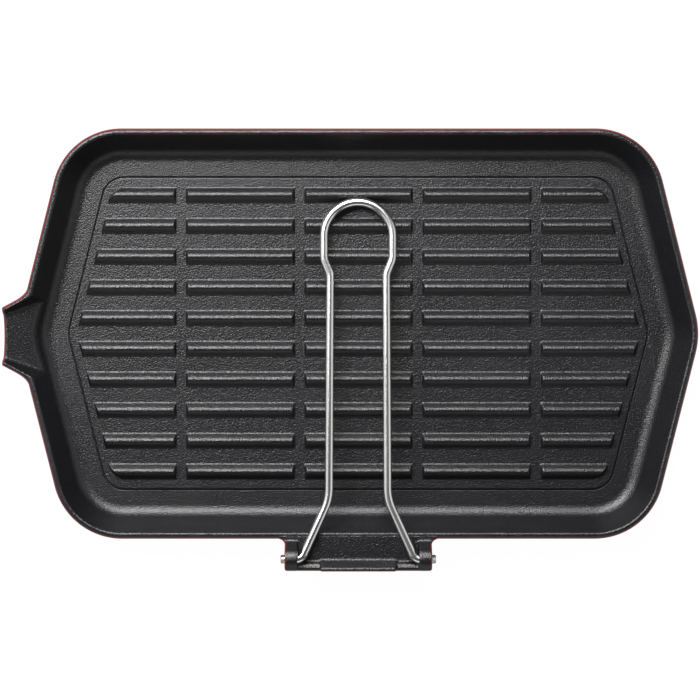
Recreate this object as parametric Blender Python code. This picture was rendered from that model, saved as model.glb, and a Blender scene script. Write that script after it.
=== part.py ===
"""A cast-iron grill pan with a folding wire handle.

The pan is one enamelled casting: a shallow tray, long and six-sided in plan, with a pouring spout at its
west end, ribs on its floor and a hinge bracket with two ears at its south side. The handle is one bent
wire whose feet turn outwards into the ears, so it folds over the tray or swings out to the south.

Metres, +Z up, +X along the tray, +Y away from the hinge. The shapes below are laid out about the middle of
the tray, and the datum empty moves them so that the origin is under the middle of the whole object.
"""

import math

import bmesh
import bpy
from mathutils import Matrix, Vector

# --- tray, in plan ---
HALF_LENGTH = 0.1775  # to the sharp corner where the two sloping sides of an end would meet
HALF_WIDTH = 0.1064
END_LEAN = math.radians(14.1)  # of a sloping side from the Y axis
CORNER_RADIUS = 0.036
VERTEX_RADIUS = 0.041  # of the blunt corner in the middle of each end

# --- tray, in section ---
RIM_HEIGHT = 0.024
FLOOR_HEIGHT = 0.0055
RIM_EDGE_RADIUS = 0.0009
RIM_FLAT_END = 0.0024  # from the outer edge to where the inner edge starts to round
WALL_DRAFT = math.radians(25)
INNER_FOOT_RADIUS = 0.0074
OUTER_FOOT_RADIUS = 0.0105
GROOVE_INSET = 0.0243
GROOVE_HALF_WIDTH = 0.0004
GROOVE_DEPTH = 0.0006
PLATEAU_RISE = 0.0002  # of the ribbed field over the floor round it
BASE_RING_WIDTH = 0.012
BASE_RECESS = 0.001

# --- spout ---
SPOUT_TIP = 0.1848
SPOUT_CENTRE_Y = -0.0013
SPOUT_HALF_TIP = 0.015
SPOUT_TIP_SAG = 0.0008
SPOUT_FLANK = math.radians(28)  # of a flank from the X axis
SPOUT_ROOT_BLEND = 0.0055
SPOUT_TIP_BLEND = 0.0008
CHANNEL_RIM = 0.0017
CHANNEL_TIP_DEPTH = 0.0035
CHANNEL_FALL = 0.35  # of its floor, for each metre in from the tip
CHANNEL_DRAFT = math.radians(22)
CHANNEL_EDGE_RADIUS = 0.0007
CHANNEL_FOOT_RADIUS = 0.0022
CHANNEL_BLEND = 0.003
SPOUT_TIP_UNDERSIDE = 0.0170
SPOUT_UNDER_FALL = 0.44
SPOUT_OUTER_DRAFT = math.radians(12)
SPOUT_OUTER_FOOT = 0.0015
SPOUT_REACH_IN = 0.029  # from the tip to where the spout's lines have met the tray's

# --- ribs ---
RIB_ROWS = 10
RIB_PITCH = 0.0161
RIB_HALF_WIDTH = 0.0041
RIB_CREST_HALF_WIDTH = 0.0014
RIB_HEIGHT = 0.003
RIB_END_RUN = 0.0011
RIB_SINK = 0.0008
RIB_COLUMN_EDGES = (0.0286, 0.0333, 0.0906, 0.0954)  # |x| of the gaps between the columns
RIB_END_GAP = 0.0045  # from the groove to the outer ribs
RIB_CORNER_CUT = 0.0045  # taken off the outer corner of the first and last rows

# --- hinge ---
PIVOT_Y = -0.1162
PIVOT_HEIGHT = 0.0279
BRACKET_HALF_WIDTH = 0.0381
BRACKET_FACE_Y = -0.1227
BRACKET_CORNER_RADIUS = 0.002
BRACKET_ROOT_RADIUS = 0.003
BRACKET_FACE_FOOT = 0.0125
BRACKET_WALL_FOOT = 0.009
BRACKET_DRAFT_RUN = 0.0008
BRACKET_REACH_IN = 0.0090  # of its foot, inwards from the tray's outline
JOIN_DEPTH = 0.005  # of the shapes that stand on the bracket, down into it
JOIN_OVERLAP = 0.0005
EAR_INNER = 0.0314
EAR_OUTER = 0.0380
EAR_RADIUS = 0.0061
EAR_ROOT_Y = -0.1072
EAR_HOLE_RADIUS = 0.00275
UPSTAND_BACK_Y = -0.1225  # of the lip and the seats
LIP_HALF_WIDTH = 0.0195
SEAT_INNER = 0.0190

# Sections of the lip and the seats: distance in from the back and height over the rim.
LIP_SECTION = ((0.0037, 0), (0.0021, 0.0050), (0.0014, 0.0055), (0.0007, 0.0055), (0, 0.0043))
SEAT_SECTION = ((0.0046, 0), (0.0036, 0.0021), (0.0014, 0.0029), (0.0008, 0.0029), (0, 0.0017))

# --- handle ---
WIRE_RADIUS = 0.00225
WIRE_END = 0.0401
REST_SLOPE = math.radians(5.57)  # the loop lies lower than the pivot
FOOT_X = 0.0293
FOOT_BEND = 0.0048
SPLAY_END = (0.01515, 0.0310)
SPLAY_BEND = 0.026
NECK = (0.01465, 0.1480)
SHOULDER = (0.0179, 0.1561)
NECK_BEND = 0.009
LOOP_CENTRE = 0.1680

WEST_HALF_SPANS = (0.0030, 0.0090, 0.0142, 0.0153, 0.0175, 0.0200, 0.0220, 0.0245, 0.0280)
CORNER_STEPS = 6
VERTEX_STEPS = 3
ARC_STEPS = 5


def soft_max(a, b, reach):
    """The larger of two lengths, with a round passage where they differ by less than reach."""
    if reach <= 0:
        return max(a, b)
    overlap = max(reach - abs(a - b), 0)
    return max(a, b) + overlap * overlap / (4 * reach)


def soft_min(a, b, reach):
    return -soft_max(-a, -b, reach)


def wall_drop(distance, depth, draft, top_radius, foot_radius):
    """How far a drafted wall has fallen, at a distance in from where its top edge starts to round."""
    top_run = top_radius * math.cos(draft)
    top_fall = top_radius * (1 - math.sin(draft))
    straight_fall = depth - top_fall - foot_radius * (1 - math.sin(draft))
    straight_run = straight_fall * math.tan(draft)
    if distance <= 0:
        return 0.0
    if distance < top_run:
        return top_radius - math.sqrt(top_radius**2 - distance**2)
    if distance < top_run + straight_run:
        return top_fall + (distance - top_run) / math.tan(draft)
    to_floor = top_run + straight_run + foot_radius * math.cos(draft) - distance
    if to_floor <= 0:
        return depth
    return depth - foot_radius + math.sqrt(foot_radius**2 - to_floor**2)


def wall_run(depth, draft, top_radius, foot_radius):
    """The plan length of such a wall, from its top edge to the floor."""
    straight_fall = depth - (top_radius + foot_radius) * (1 - math.sin(draft))
    return straight_fall * math.tan(draft) + (top_radius + foot_radius) * math.cos(draft)


# --- the tray's outline and its two surfaces ---

INNER_DEPTH = RIM_HEIGHT - FLOOR_HEIGHT
OUTER_DEPTH = RIM_HEIGHT - RIM_EDGE_RADIUS
FLOOR_INSET = RIM_FLAT_END + wall_run(INNER_DEPTH, WALL_DRAFT, RIM_EDGE_RADIUS, INNER_FOOT_RADIUS)
BASE_INSET = wall_run(OUTER_DEPTH, WALL_DRAFT, 0, OUTER_FOOT_RADIUS)
VERTEX_CENTRE_X = HALF_LENGTH - VERTEX_RADIUS / math.cos(END_LEAN)
CORNER_CENTRE_Y = HALF_WIDTH - CORNER_RADIUS
CORNER_CENTRE_X = HALF_LENGTH - CORNER_RADIUS / math.cos(END_LEAN) - CORNER_CENTRE_Y * math.tan(END_LEAN)


def arc(centre_x, centre_y, radius, start, end, steps):
    turns = [start + (end - start) * step / steps for step in range(steps + 1)]
    return [(centre_x + radius * math.cos(t), centre_y + radius * math.sin(t)) for t in turns]


def west_side_x(y, inset):
    """X of the plain west end, without its spout, on the outline moved in by inset."""
    radius = VERTEX_RADIUS - inset
    if abs(y) < radius * math.sin(END_LEAN):
        return -VERTEX_CENTRE_X - math.sqrt(radius**2 - y**2)
    return -HALF_LENGTH + inset / math.cos(END_LEAN) + abs(y) * math.tan(END_LEAN)


def west_inset(x, y):
    """How far a point at the west end lies inside the plain outline."""
    beyond = -x - VERTEX_CENTRE_X
    if abs(y) < beyond * math.tan(END_LEAN):
        return VERTEX_RADIUS - math.hypot(beyond, y)
    return (HALF_LENGTH + x - abs(y) * math.tan(END_LEAN)) * math.cos(END_LEAN)


def spout_tip_x(y):
    across = min(abs(y - SPOUT_CENTRE_Y) / SPOUT_HALF_TIP, 1)
    return -SPOUT_TIP + SPOUT_TIP_SAG * (1 - across**2)


def spout_side_x(y, tip_inset, flank_inset):
    """X of the spout's own outline, with its tip and its flanks moved in."""
    flank = (abs(y - SPOUT_CENTRE_Y) - SPOUT_HALF_TIP) / math.tan(SPOUT_FLANK) - SPOUT_TIP
    flank += flank_inset / math.sin(SPOUT_FLANK)
    return soft_max(spout_tip_x(y) + tip_inset, flank, SPOUT_TIP_BLEND)


def flank_distance(x, y):
    """How far a point lies inside the nearer flank of the spout."""
    half_span = SPOUT_HALF_TIP + (x + SPOUT_TIP) * math.tan(SPOUT_FLANK)
    return (half_span - abs(y - SPOUT_CENTRE_Y)) * math.cos(SPOUT_FLANK)


def outline(inset, tip_inset, flank_inset):
    """The outline moved in by inset, anticlockwise from the east end, as plan points."""
    corner = CORNER_RADIUS - inset
    turn = (END_LEAN, math.pi / 2)
    north_east = arc(CORNER_CENTRE_X, CORNER_CENTRE_Y, corner, *turn, CORNER_STEPS)
    east = arc(VERTEX_CENTRE_X, 0, VERTEX_RADIUS - inset, -END_LEAN, END_LEAN, VERTEX_STEPS)
    west = []
    for side in (1, -1):
        spans = sorted(WEST_HALF_SPANS, reverse=side > 0)
        for y in (SPOUT_CENTRE_Y + side * span for span in spans):
            spout = spout_side_x(y, tip_inset, flank_inset)
            west.append((soft_min(west_side_x(y, inset), spout, SPOUT_ROOT_BLEND), y))
    north_west = [(-x, y) for x, y in reversed(north_east)]
    south = [(x, -y) for x, y in reversed(north_east + north_west)]
    return east + north_east + north_west + west + south, len(east) + 2 * len(north_east), len(west)


def inner_height(x, y, inset, at_spout):
    """Height of the casting's upper surface. The inset alone gives it, except round the spout."""
    edge = max(RIM_EDGE_RADIUS - inset, 0)
    edge_drop = RIM_EDGE_RADIUS - math.sqrt(RIM_EDGE_RADIUS**2 - edge**2)
    wall = (INNER_DEPTH, WALL_DRAFT, RIM_EDGE_RADIUS, INNER_FOOT_RADIUS)
    if not at_spout:
        return RIM_HEIGHT - edge_drop - wall_drop(inset - RIM_FLAT_END, *wall)
    drop = wall_drop(west_inset(x, y) - RIM_FLAT_END, *wall)
    channel_depth = CHANNEL_TIP_DEPTH + CHANNEL_FALL * max(x + SPOUT_TIP, 0)
    channel = (channel_depth, CHANNEL_DRAFT, CHANNEL_EDGE_RADIUS, CHANNEL_FOOT_RADIUS)
    channel_drop = wall_drop(flank_distance(x, y) - CHANNEL_RIM, *channel)
    reach = min(CHANNEL_BLEND, max(drop, channel_drop))
    return RIM_HEIGHT - edge_drop - min(soft_max(drop, channel_drop, reach), INNER_DEPTH)


def outer_height(x, y, inset, edge_height, at_spout):
    """Height of the casting's lower surface, whose outer edge lies at edge_height."""
    wall = (OUTER_DEPTH, WALL_DRAFT, 0, OUTER_FOOT_RADIUS)
    if not at_spout:
        return OUTER_DEPTH - wall_drop(inset, *wall)
    tray = OUTER_DEPTH - wall_drop(west_inset(x, y), *wall)
    from_tip = x - spout_tip_x(y)
    underside = SPOUT_TIP_UNDERSIDE - SPOUT_UNDER_FALL * max(x + SPOUT_TIP, 0)
    side_distance = max(min(from_tip, flank_distance(x, y)), 0)
    shell = (edge_height - underside, SPOUT_OUTER_DRAFT, 0, SPOUT_OUTER_FOOT)
    return max(min(tray, edge_height - wall_drop(side_distance, *shell)), 0)


def foot_insets(start, radius, draft, steps):
    """Insets that follow a wall's round foot, whose straight wall ends at start."""
    angles = [draft + (math.pi / 2 - draft) * step / steps for step in range(1, steps + 1)]
    return [start + radius * (math.cos(draft) - math.cos(angle)) for angle in angles]


def tray_mesh():
    """The tray and its spout: rings of the outline, up the outside, over the rim and down to the floor."""
    inner_wall_top = RIM_FLAT_END + RIM_EDGE_RADIUS * math.cos(WALL_DRAFT)
    inner_wall_end = FLOOR_INSET - INNER_FOOT_RADIUS * math.cos(WALL_DRAFT)
    outer_wall_end = BASE_INSET - OUTER_FOOT_RADIUS * math.cos(WALL_DRAFT)
    inner_insets = [RIM_EDGE_RADIUS * share for share in (0.35, 1)]
    inner_insets += [RIM_FLAT_END, RIM_FLAT_END + 0.6 * RIM_EDGE_RADIUS, inner_wall_top, inner_wall_end]
    inner_insets += foot_insets(inner_wall_end, INNER_FOOT_RADIUS, WALL_DRAFT, 5)
    outer_insets = [outer_wall_end * 0.3, outer_wall_end]
    outer_insets += foot_insets(outer_wall_end, OUTER_FOOT_RADIUS, WALL_DRAFT, 4)

    rings = []

    def add_ring(inset, tip_inset, flank_inset, height_at):
        points, first_west, west_count = outline(inset, tip_inset, flank_inset)
        west = range(first_west, first_west + west_count)
        rings.append([Vector((x, y, height_at(i, x, y, i in west))) for i, (x, y) in enumerate(points)])

    def add_flat_ring(inset, height):
        add_ring(inset, SPOUT_REACH_IN, SPOUT_REACH_IN, lambda i, x, y, west: height)

    add_ring(0, 0, 0, lambda i, x, y, west: inner_height(x, y, 0, west))
    edge_ring = rings.pop()
    add_flat_ring(BASE_INSET + BASE_RING_WIDTH + BASE_RECESS, BASE_RECESS)
    add_flat_ring(BASE_INSET + BASE_RING_WIDTH, 0)
    for inset in reversed(outer_insets):
        reach = SPOUT_REACH_IN * inset / BASE_INSET
        heights = lambda i, x, y, west, inset=inset: outer_height(x, y, inset, edge_ring[i].z, west)
        add_ring(inset, reach, reach / 2, heights)
    rings.append(edge_ring)
    for inset in inner_insets:
        beyond_rim = max(inset - inner_wall_top, 0) / (FLOOR_INSET - inner_wall_top)
        tip_inset = inset + beyond_rim * (SPOUT_REACH_IN - inset)
        flank_inset = min(inset, RIM_EDGE_RADIUS) + max(inset - RIM_EDGE_RADIUS, 0) * 0.8
        heights = lambda i, x, y, west, inset=inset: inner_height(x, y, inset, west)
        add_ring(inset, tip_inset, flank_inset, heights)
    add_flat_ring(GROOVE_INSET - GROOVE_HALF_WIDTH, FLOOR_HEIGHT)
    add_flat_ring(GROOVE_INSET, FLOOR_HEIGHT - GROOVE_DEPTH)
    add_flat_ring(GROOVE_INSET + GROOVE_HALF_WIDTH, FLOOR_HEIGHT + PLATEAU_RISE)

    mesh = bmesh.new()
    vertex_rings = [[mesh.verts.new(point) for point in ring] for ring in rings]
    for lower, upper in zip(vertex_rings, vertex_rings[1:]):
        for i in range(len(lower)):
            mesh.faces.new((lower[i - 1], lower[i], upper[i], upper[i - 1]))
    mesh.faces.new(reversed(vertex_rings[0]))
    mesh.faces.new(vertex_rings[-1])
    return mesh


# --- ribs ---


def rib_end_x(y):
    """|x| of the outer ribs' ends, a line parallel to the tray's sloping sides."""
    cut = max(abs(y) - (RIB_ROWS - 1) / 2 * RIB_PITCH, 0) / RIB_HALF_WIDTH
    inset = (GROOVE_INSET + RIB_END_GAP) / math.cos(END_LEAN)
    return HALF_LENGTH - inset - abs(y) * math.tan(END_LEAN) - RIB_CORNER_CUT * cut


def add_rib(mesh, row_y, ends):
    """One rib: a bar of trapezium section. ends gives its west and east x for a given y."""
    base = FLOOR_HEIGHT - RIB_SINK
    crest = FLOOR_HEIGHT + PLATEAU_RISE + RIB_HEIGHT
    corners = []
    for half_width, height, run in ((RIB_HALF_WIDTH, base, 0), (RIB_CREST_HALF_WIDTH, crest, RIB_END_RUN)):
        for side, end, inward in ((-1, 0, 1), (-1, 1, -1), (1, 1, -1), (1, 0, 1)):
            y = row_y + side * half_width
            corners.append(mesh.verts.new((ends(y)[end] + inward * run, y, height)))
    for face in ((3, 2, 1, 0), (4, 5, 6, 7), (0, 1, 5, 4), (1, 2, 6, 5), (2, 3, 7, 6), (3, 0, 4, 7)):
        mesh.faces.new([corners[i] for i in face])


def ribs_mesh():
    """Five columns of ribs, the outer ones with ends that follow the tray."""
    centre_edge, inner_start, inner_end, outer_start = RIB_COLUMN_EDGES
    columns = (
        lambda y: (-rib_end_x(y), -outer_start),
        lambda y: (-inner_end, -inner_start),
        lambda y: (-centre_edge, centre_edge),
        lambda y: (inner_start, inner_end),
        lambda y: (outer_start, rib_end_x(y)),
    )
    mesh = bmesh.new()
    for row in range(RIB_ROWS):
        row_y = (row - (RIB_ROWS - 1) / 2) * RIB_PITCH
        for column in columns:
            add_rib(mesh, row_y, column)
    return mesh


# --- hinge bracket ---


def prism(profile, x_from, x_to):
    """A (y, z) profile, anticlockwise as seen from +X, carried along X."""
    mesh = bmesh.new()
    near = [mesh.verts.new((x_from, y, z)) for y, z in profile]
    far = [mesh.verts.new((x_to, y, z)) for y, z in profile]
    for i in range(len(profile)):
        mesh.faces.new((near[i - 1], near[i], far[i], far[i - 1]))
    mesh.faces.new(near)
    mesh.faces.new(far)
    bmesh.ops.recalc_face_normals(mesh, faces=mesh.faces)
    return mesh


def bracket_mesh():
    """The block that stands out from the tray's south side, level with the rim on top."""
    wall_top_y = -HALF_WIDTH + 0.6 * RIM_FLAT_END
    root = arc(
        BRACKET_HALF_WIDTH + BRACKET_ROOT_RADIUS,
        -HALF_WIDTH - BRACKET_ROOT_RADIUS,
        BRACKET_ROOT_RADIUS,
        math.pi / 2,
        math.pi,
        4,
    )
    corner = arc(
        BRACKET_HALF_WIDTH - BRACKET_CORNER_RADIUS,
        BRACKET_FACE_Y + BRACKET_CORNER_RADIUS,
        BRACKET_CORNER_RADIUS,
        0,
        -math.pi / 2,
        4,
    )
    east = [(root[0][0], wall_top_y), *root, *corner]
    plan = east + [(-x, y) for x, y in reversed(east)]
    wall_foot_y = -HALF_WIDTH + BRACKET_REACH_IN
    fall = (BRACKET_FACE_FOOT - BRACKET_WALL_FOOT) / (wall_foot_y - BRACKET_FACE_Y)

    mesh = bmesh.new()
    top = [mesh.verts.new((x, y, RIM_HEIGHT)) for x, y in plan]
    bottom = []
    for x, y in plan:
        foot_y = wall_foot_y if y == wall_top_y else min(y + BRACKET_DRAFT_RUN, wall_foot_y)
        foot_z = BRACKET_WALL_FOOT + fall * (wall_foot_y - foot_y)
        foot_x = x - math.copysign(BRACKET_DRAFT_RUN, x)
        bottom.append(mesh.verts.new((foot_x, foot_y, foot_z)))
    for i in range(len(plan)):
        mesh.faces.new((top[i - 1], top[i], bottom[i], bottom[i - 1]))
    mesh.faces.new(top)
    mesh.faces.new(bottom)
    bmesh.ops.recalc_face_normals(mesh, faces=mesh.faces)
    return mesh


def ear_profile():
    """From the table up a steep north face, round the knuckle and down to the bracket's face."""
    rise = PIVOT_HEIGHT - RIM_HEIGHT
    run = EAR_ROOT_Y - PIVOT_Y
    tangent = math.atan2(rise, -run) - math.asin(EAR_RADIUS / math.hypot(rise, run))
    knuckle = arc(PIVOT_Y, PIVOT_HEIGHT, EAR_RADIUS, tangent - math.pi / 2, math.pi, 9)
    sunk = RIM_HEIGHT - JOIN_DEPTH
    face_y = PIVOT_Y - EAR_RADIUS
    return [(EAR_ROOT_Y, sunk), (EAR_ROOT_Y, RIM_HEIGHT), *knuckle, (face_y, sunk)]


def upstand_profile(section):
    """The outline of a lip or a seat, from its section, sunk into the bracket."""
    outline_points = [(UPSTAND_BACK_Y + inwards, RIM_HEIGHT + rise) for inwards, rise in section]
    sunk = RIM_HEIGHT - JOIN_DEPTH
    return [(outline_points[0][0], sunk), *outline_points, (outline_points[-1][0], sunk)]


# --- handle ---


def rounded(points):
    """Plan points with a radius at each inner one, as one polyline with arcs."""
    path = [Vector(points[0][:2])]
    for (ax, ay, _), (bx, by, radius), (cx, cy, _) in zip(points, points[1:], points[2:]):
        corner = Vector((bx, by))
        back = (Vector((ax, ay)) - corner).normalized()
        ahead = (Vector((cx, cy)) - corner).normalized()
        half_angle = back.angle(ahead) / 2
        centre = corner + (back + ahead).normalized() * radius / math.sin(half_angle)
        first = corner + back * radius / math.tan(half_angle) - centre
        last = corner + ahead * radius / math.tan(half_angle) - centre
        turn = first.angle_signed(last)
        for step in range(ARC_STEPS + 1):
            path.append(centre + Matrix.Rotation(-turn * step / ARC_STEPS, 2) @ first)
    path.append(Vector(points[-1][:2]))
    return path


def handle_path():
    """The wire's centreline in the handle's own plane, from one foot round the loop to the other."""
    loop_radius = SHOULDER[0]
    half = rounded(
        [
            (WIRE_END, 0, 0),
            (FOOT_X, 0, FOOT_BEND),
            (*SPLAY_END, SPLAY_BEND),
            (*NECK, NECK_BEND),
            (*SHOULDER, NECK_BEND),
            (loop_radius, LOOP_CENTRE, 0),
        ]
    )
    loop = arc(0, LOOP_CENTRE, loop_radius, 0, math.pi, 14)[1:-1]
    return [*half, *map(Vector, loop), *(Vector((-p.x, p.y)) for p in reversed(half))]


# --- objects ---


def material(name, color, roughness, metallic):
    made = bpy.data.materials.new(name)
    made.use_nodes = True
    shader = made.node_tree.nodes["Principled BSDF"]
    shader.inputs["Base Color"].default_value = (*color, 1)
    shader.inputs["Roughness"].default_value = roughness
    shader.inputs["Metallic"].default_value = metallic
    return made


def place(name, data, parent, location=(0, 0, 0)):
    made = bpy.data.objects.new(name, data)
    bpy.context.collection.objects.link(made)
    made.parent = parent
    made.location = location
    return made


def mesh_data(name, mesh):
    data = bpy.data.meshes.new(name)
    mesh.to_mesh(data)
    mesh.free()
    return data


def combine(target, operation, name, mesh):
    """Joins a helper shape to the target, or cuts it away."""
    helper = place(name, mesh_data(name, mesh), target.parent)
    helper.hide_render = True
    helper.display_type = "WIRE"
    modifier = target.modifiers.new(name, "BOOLEAN")
    modifier.operation = operation
    modifier.object = helper


def hole_mesh():
    """A bar along the pivot axis, through both ears."""
    circle = arc(PIVOT_Y, PIVOT_HEIGHT, EAR_HOLE_RADIUS, 0, 2 * math.pi, 20)[:-1]
    reach = BRACKET_HALF_WIDTH + JOIN_DEPTH
    return prism(circle, -reach, reach)


def make_pan(datum):
    """The casting, with its ribs and its hinge all of one piece."""
    pan = place("pan_casting", mesh_data("pan_casting", tray_mesh()), datum)
    pan.data.materials.append(material("black_enamel", (0.022, 0.023, 0.025), 0.45, 0))
    combine(pan, "UNION", "ribs", ribs_mesh())
    combine(pan, "UNION", "bracket", bracket_mesh())
    combine(pan, "UNION", "lip", prism(upstand_profile(LIP_SECTION), -LIP_HALF_WIDTH, LIP_HALF_WIDTH))
    for side, name in ((1, "east"), (-1, "west")):
        seat = prism(upstand_profile(SEAT_SECTION), side * SEAT_INNER, side * (EAR_INNER + JOIN_OVERLAP))
        combine(pan, "UNION", f"seat_{name}", seat)
        ear = prism(ear_profile(), side * EAR_INNER, side * EAR_OUTER)
        combine(pan, "UNION", f"ear_{name}", ear)
    combine(pan, "DIFFERENCE", "pivot_holes", hole_mesh())


def make_handle(datum):
    """The wire, hung on its pivot axis and lying down over the ribs."""
    curve = bpy.data.curves.new("wire_handle", "CURVE")
    curve.dimensions = "3D"
    curve.bevel_depth = WIRE_RADIUS
    curve.bevel_resolution = 3
    curve.use_fill_caps = True
    path = handle_path()
    spline = curve.splines.new("POLY")
    spline.points.add(len(path) - 1)
    for point, place_on_path in zip(spline.points, path):
        point.co = (*place_on_path, 0, 1)
    curve.materials.append(material("stainless_wire", (0.62, 0.62, 0.60), 0.22, 1))
    handle = place("wire_handle", curve, datum, (0, PIVOT_Y, PIVOT_HEIGHT))
    handle.rotation_euler = (-REST_SLOPE, 0, 0)


def main():
    for old in list(bpy.data.objects):
        bpy.data.objects.remove(old)
    east_end = VERTEX_CENTRE_X + VERTEX_RADIUS
    datum = place("grill_datum", None, None)
    datum.location = ((SPOUT_TIP - east_end) / 2, -(HALF_WIDTH + BRACKET_FACE_Y) / 2, 0)
    make_pan(datum)
    make_handle(datum)


if __name__ == "__main__":
    main()
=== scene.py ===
"""Looks of a cast-iron grill pan with a folding wire handle.

The casting is one lofted shell, from the ground ring round its base, up the red outside, over the rim and
down the black inside to the ribbed field. Geometry Nodes make the ribs. The hinge is cast on at the south
side, and the handle is one swept wire. Metres, +Z up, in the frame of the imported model.
"""

import enum
import logging
import math
from dataclasses import dataclass, field
from typing import Callable, Iterable, Sequence

import bmesh
import bpy
from mathutils import Matrix, Vector
from mathutils.geometry import delaunay_2d_cdt


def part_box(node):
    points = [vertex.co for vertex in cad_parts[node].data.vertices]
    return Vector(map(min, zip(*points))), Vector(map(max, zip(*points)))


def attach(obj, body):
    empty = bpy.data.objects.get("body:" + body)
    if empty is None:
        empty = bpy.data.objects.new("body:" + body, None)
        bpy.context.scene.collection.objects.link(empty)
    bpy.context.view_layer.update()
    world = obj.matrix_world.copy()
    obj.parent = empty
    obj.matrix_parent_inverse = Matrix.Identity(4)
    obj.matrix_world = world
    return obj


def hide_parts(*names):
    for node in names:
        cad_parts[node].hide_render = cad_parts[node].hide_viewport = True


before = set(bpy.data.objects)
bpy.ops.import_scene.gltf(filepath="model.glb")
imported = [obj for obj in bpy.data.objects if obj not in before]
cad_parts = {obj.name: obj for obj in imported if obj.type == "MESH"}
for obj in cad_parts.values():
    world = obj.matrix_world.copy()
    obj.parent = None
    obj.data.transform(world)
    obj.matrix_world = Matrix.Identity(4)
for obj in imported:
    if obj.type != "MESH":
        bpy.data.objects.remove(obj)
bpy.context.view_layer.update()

log = logging.getLogger("grill_pan")

Point = tuple[float, float]
HeightRule = Callable[[int, float, float, bool], float]  # from a point's index, x, y, and if it is at the spout
OUTSIDE = "outside"  # vertex attribute, above 0 on the casting's red outside and below 0 on its black inside


class Side(enum.Enum):
    """The two ends of the hinge, by the sign of x."""

    EAST = 1
    WEST = -1


# --- plane geometry ---


def arc(centre: Point, radius: float, start: float, end: float, steps: int) -> list[Point]:
    """Points along a circular arc.

    Args:
        centre: The arc's centre.
        radius: Its radius.
        start: Angle of its first point, in radians.
        end: Angle of its last point.
        steps: Number of chords.

    Returns:
        steps + 1 points.
    """
    turns = (start + (end - start) * step / steps for step in range(steps + 1))
    return [(centre[0] + radius * math.cos(t), centre[1] + radius * math.sin(t)) for t in turns]


def rounded(corners: Sequence[tuple[float, float, float]], steps: int) -> list[Vector]:
    """A polyline whose inner corners are rounded.

    Args:
        corners: x, y and radius of each corner. The two ends' radii aren't used.
        steps: Chords in each arc.

    Returns:
        The points of the rounded line.
    """
    path = [Vector(corners[0][:2])]
    for before, here, after in zip(corners, corners[1:], corners[2:]):
        corner = Vector(here[:2])
        back = (Vector(before[:2]) - corner).normalized()
        ahead = (Vector(after[:2]) - corner).normalized()
        half_angle = back.angle(ahead) / 2
        centre = corner + (back + ahead).normalized() * here[2] / math.sin(half_angle)
        first = corner + back * here[2] / math.tan(half_angle) - centre
        last = corner + ahead * here[2] / math.tan(half_angle) - centre
        turn = first.angle_signed(last)
        path += [centre + Matrix.Rotation(-turn * step / steps, 2) @ first for step in range(steps + 1)]
    path.append(Vector(corners[-1][:2]))
    return path


def soft_max(a: float, b: float, reach: float) -> float:
    """The larger value, with a round passage between the two.

    Args:
        a: One value.
        b: The other value.
        reach: How much they may differ and still be blended.

    Returns:
        The blended value.
    """
    if reach <= 0:
        return max(a, b)
    overlap = max(reach - abs(a - b), 0)
    return max(a, b) + overlap * overlap / (4 * reach)


def soft_min(a: float, b: float, reach: float) -> float:
    """The smaller value, with the same passage."""
    return -soft_max(-a, -b, reach)


def spread(first: float, last: float, steps: int) -> list[float]:
    """steps evenly spaced values after first, up to and with last."""
    return [first + (last - first) * step / steps for step in range(1, steps + 1)]


@dataclass(frozen=True)
class Wall:
    """The section of a drafted wall: a rounded top edge, a straight slope and a rounded foot."""

    depth: float
    draft: float
    top_radius: float
    foot_radius: float

    @property
    def top_run(self) -> float:
        """Plan length of the rounded top edge."""
        return self.top_radius * math.cos(self.draft)

    @property
    def slope_run(self) -> float:
        """Plan length of the straight slope."""
        rounds = (self.top_radius + self.foot_radius) * (1 - math.sin(self.draft))
        return (self.depth - rounds) * math.tan(self.draft)

    @property
    def run(self) -> float:
        """Plan length from the top edge to the floor."""
        return self.top_run + self.slope_run + self.foot_radius * math.cos(self.draft)

    def drop(self, distance: float) -> float:
        """How far the wall has fallen.

        Args:
            distance: Plan distance in from its top edge.

        Returns:
            The fall, from 0 at the top edge to the wall's depth at its foot.
        """
        if distance <= 0:
            return 0.0
        if distance < self.top_run:
            return self.top_radius - math.sqrt(self.top_radius**2 - distance**2)
        if distance < self.top_run + self.slope_run:
            top_fall = self.top_radius * (1 - math.sin(self.draft))
            return top_fall + (distance - self.top_run) / math.tan(self.draft)
        to_floor = max(self.run - distance, 0)
        return self.depth - self.foot_radius + math.sqrt(self.foot_radius**2 - to_floor**2)

    def stations(self, top_steps: int, slope_steps: int, foot_steps: int) -> list[float]:
        """Distances in from the top edge at which a ring follows the section.

        Args:
            top_steps: Rings on the rounded edge.
            slope_steps: Rings on the slope.
            foot_steps: Rings on the foot, at equal turns.

        Returns:
            The distances, the floor's last.
        """
        slope_start = self.top_run
        foot_start = self.top_run + self.slope_run
        turns = spread(self.draft, math.pi / 2, foot_steps)
        top = [slope_start * math.sin(t) for t in spread(0, math.pi / 2, top_steps)]
        foot = [foot_start + self.foot_radius * (math.cos(self.draft) - math.cos(t)) for t in turns]
        return top + spread(slope_start, foot_start, slope_steps) + foot


# --- finishes ---


def new_group(name: str, inputs: dict[str, tuple[str, float]], outputs: Iterable[str]) -> bpy.types.NodeTree:
    """A shader node group with its sockets.

    Args:
        name: The group's name.
        inputs: For each input, its socket type and default value.
        outputs: Names of its float outputs.

    Returns:
        The group, with its input and output nodes in place.
    """
    group = bpy.data.node_groups.new(name, "ShaderNodeTree")
    for label, (kind, value) in inputs.items():
        socket = group.interface.new_socket(label, in_out="INPUT", socket_type=kind)
        if kind == "NodeSocketFloat":
            socket.default_value = value
    for label in outputs:
        group.interface.new_socket(label, in_out="OUTPUT", socket_type="NodeSocketFloat")
    group.nodes.new("NodeGroupInput")
    group.nodes.new("NodeGroupOutput")
    return group


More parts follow.
